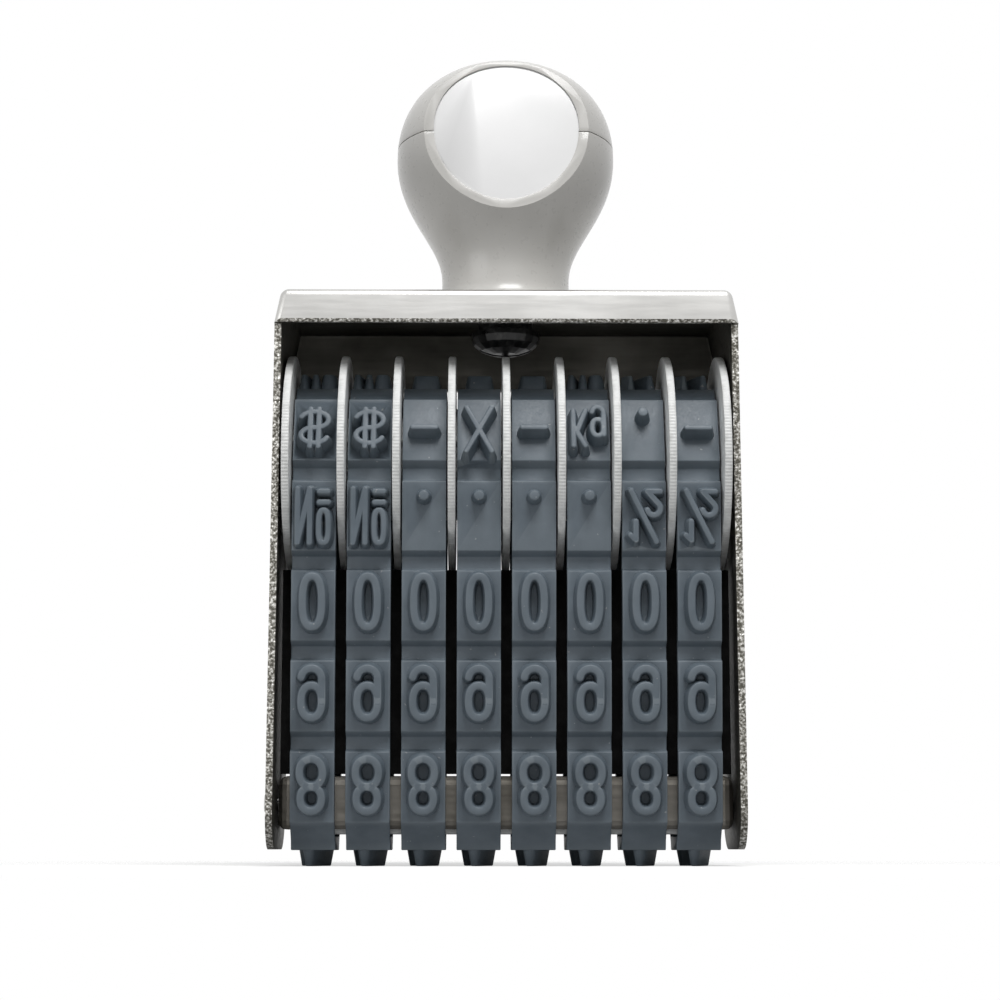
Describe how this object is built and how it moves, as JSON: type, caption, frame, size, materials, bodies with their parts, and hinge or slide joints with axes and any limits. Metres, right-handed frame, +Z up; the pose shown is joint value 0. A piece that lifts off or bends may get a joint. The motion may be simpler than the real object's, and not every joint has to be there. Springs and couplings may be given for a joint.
{
  "type": "numbering stamp",
  "caption": "Hand numbering stamp: bent steel frame with a plastic knob, rubber character bands and thumb wheels that set them.",
  "frame": {"origin": "under the middle of the frame, on the plane that the lowest characters stand on", "axes": "+Z up through the knob, +X to the right of someone facing the label, along the wheel axle, +Y to the rear"},
  "size_m": [0.0712, 0.0329, 0.122],
  "materials": {
    "nickel_plated_steel": "nickel plated, satin",
    "grey_plastic": "moulded, semi-gloss",
    "white_plate": "smooth white, bare",
    "band_rubber": "moulded, satin",
    "pale_plastic": "moulded, satin",
    "black_steel": "blackened"
  },
  "bodies": {
    "stamp_body": {"frame": "nickel_plated_steel", "wheel_axle": "nickel_plated_steel", "axle_cap": "nickel_plated_steel", "axle_washer_left": "nickel_plated_steel", "axle_washer_right": "nickel_plated_steel", "platen_bracket": "nickel_plated_steel", "platen_rivet_left": "nickel_plated_steel", "platen_rivet_right": "nickel_plated_steel", "handle_body": "grey_plastic", "handle_cap": "grey_plastic", "label_plate": "white_plate", "handle_screw": "black_steel", "handle_spacer": "black_steel", "end_disc": "pale_plastic", "platen_pad": "pale_plastic", "guard_sheet": "black_steel", "band_1": "band_rubber", "band_2": "band_rubber", "band_3": "band_rubber", "band_4": "band_rubber", "band_5": "band_rubber", "band_6": "band_rubber", "band_7": "band_rubber", "band_8": "band_rubber"},
    "setting_wheel_1": {"wheel_1": "pale_plastic"},
    "setting_wheel_2": {"wheel_2": "pale_plastic"},
    "setting_wheel_3": {"wheel_3": "pale_plastic"},
    "setting_wheel_4": {"wheel_4": "pale_plastic"},
    "setting_wheel_5": {"wheel_5": "pale_plastic"},
    "setting_wheel_6": {"wheel_6": "pale_plastic"},
    "setting_wheel_7": {"wheel_7": "pale_plastic"},
    "setting_wheel_8": {"wheel_8": "pale_plastic"}
  },
  "joints": [
    {"name": "wheel_1_turn", "type": "hinge", "parent": "stamp_body", "child": "setting_wheel_1", "pos_m": [-0.032, 0, 0.0598], "axis": [1, 0, 0], "continuous": true},
    {"name": "wheel_2_turn", "type": "hinge", "parent": "stamp_body", "child": "setting_wheel_2", "pos_m": [-0.024, 0, 0.0598], "axis": [1, 0, 0], "continuous": true},
    {"name": "wheel_3_turn", "type": "hinge", "parent": "stamp_body", "child": "setting_wheel_3", "pos_m": [-0.016, 0, 0.0598], "axis": [1, 0, 0], "continuous": true},
    {"name": "wheel_4_turn", "type": "hinge", "parent": "stamp_body", "child": "setting_wheel_4", "pos_m": [-0.008, 0, 0.0598], "axis": [1, 0, 0], "continuous": true},
    {"name": "wheel_5_turn", "type": "hinge", "parent": "stamp_body", "child": "setting_wheel_5", "pos_m": [0, 0, 0.0598], "axis": [1, 0, 0], "continuous": true},
    {"name": "wheel_6_turn", "type": "hinge", "parent": "stamp_body", "child": "setting_wheel_6", "pos_m": [0.008, 0, 0.0598], "axis": [1, 0, 0], "continuous": true},
    {"name": "wheel_7_turn", "type": "hinge", "parent": "stamp_body", "child": "setting_wheel_7", "pos_m": [0.016, 0, 0.0598], "axis": [1, 0, 0], "continuous": true},
    {"name": "wheel_8_turn", "type": "hinge", "parent": "stamp_body", "child": "setting_wheel_8", "pos_m": [0.024, 0, 0.0598], "axis": [1, 0, 0], "continuous": true}
  ]
}
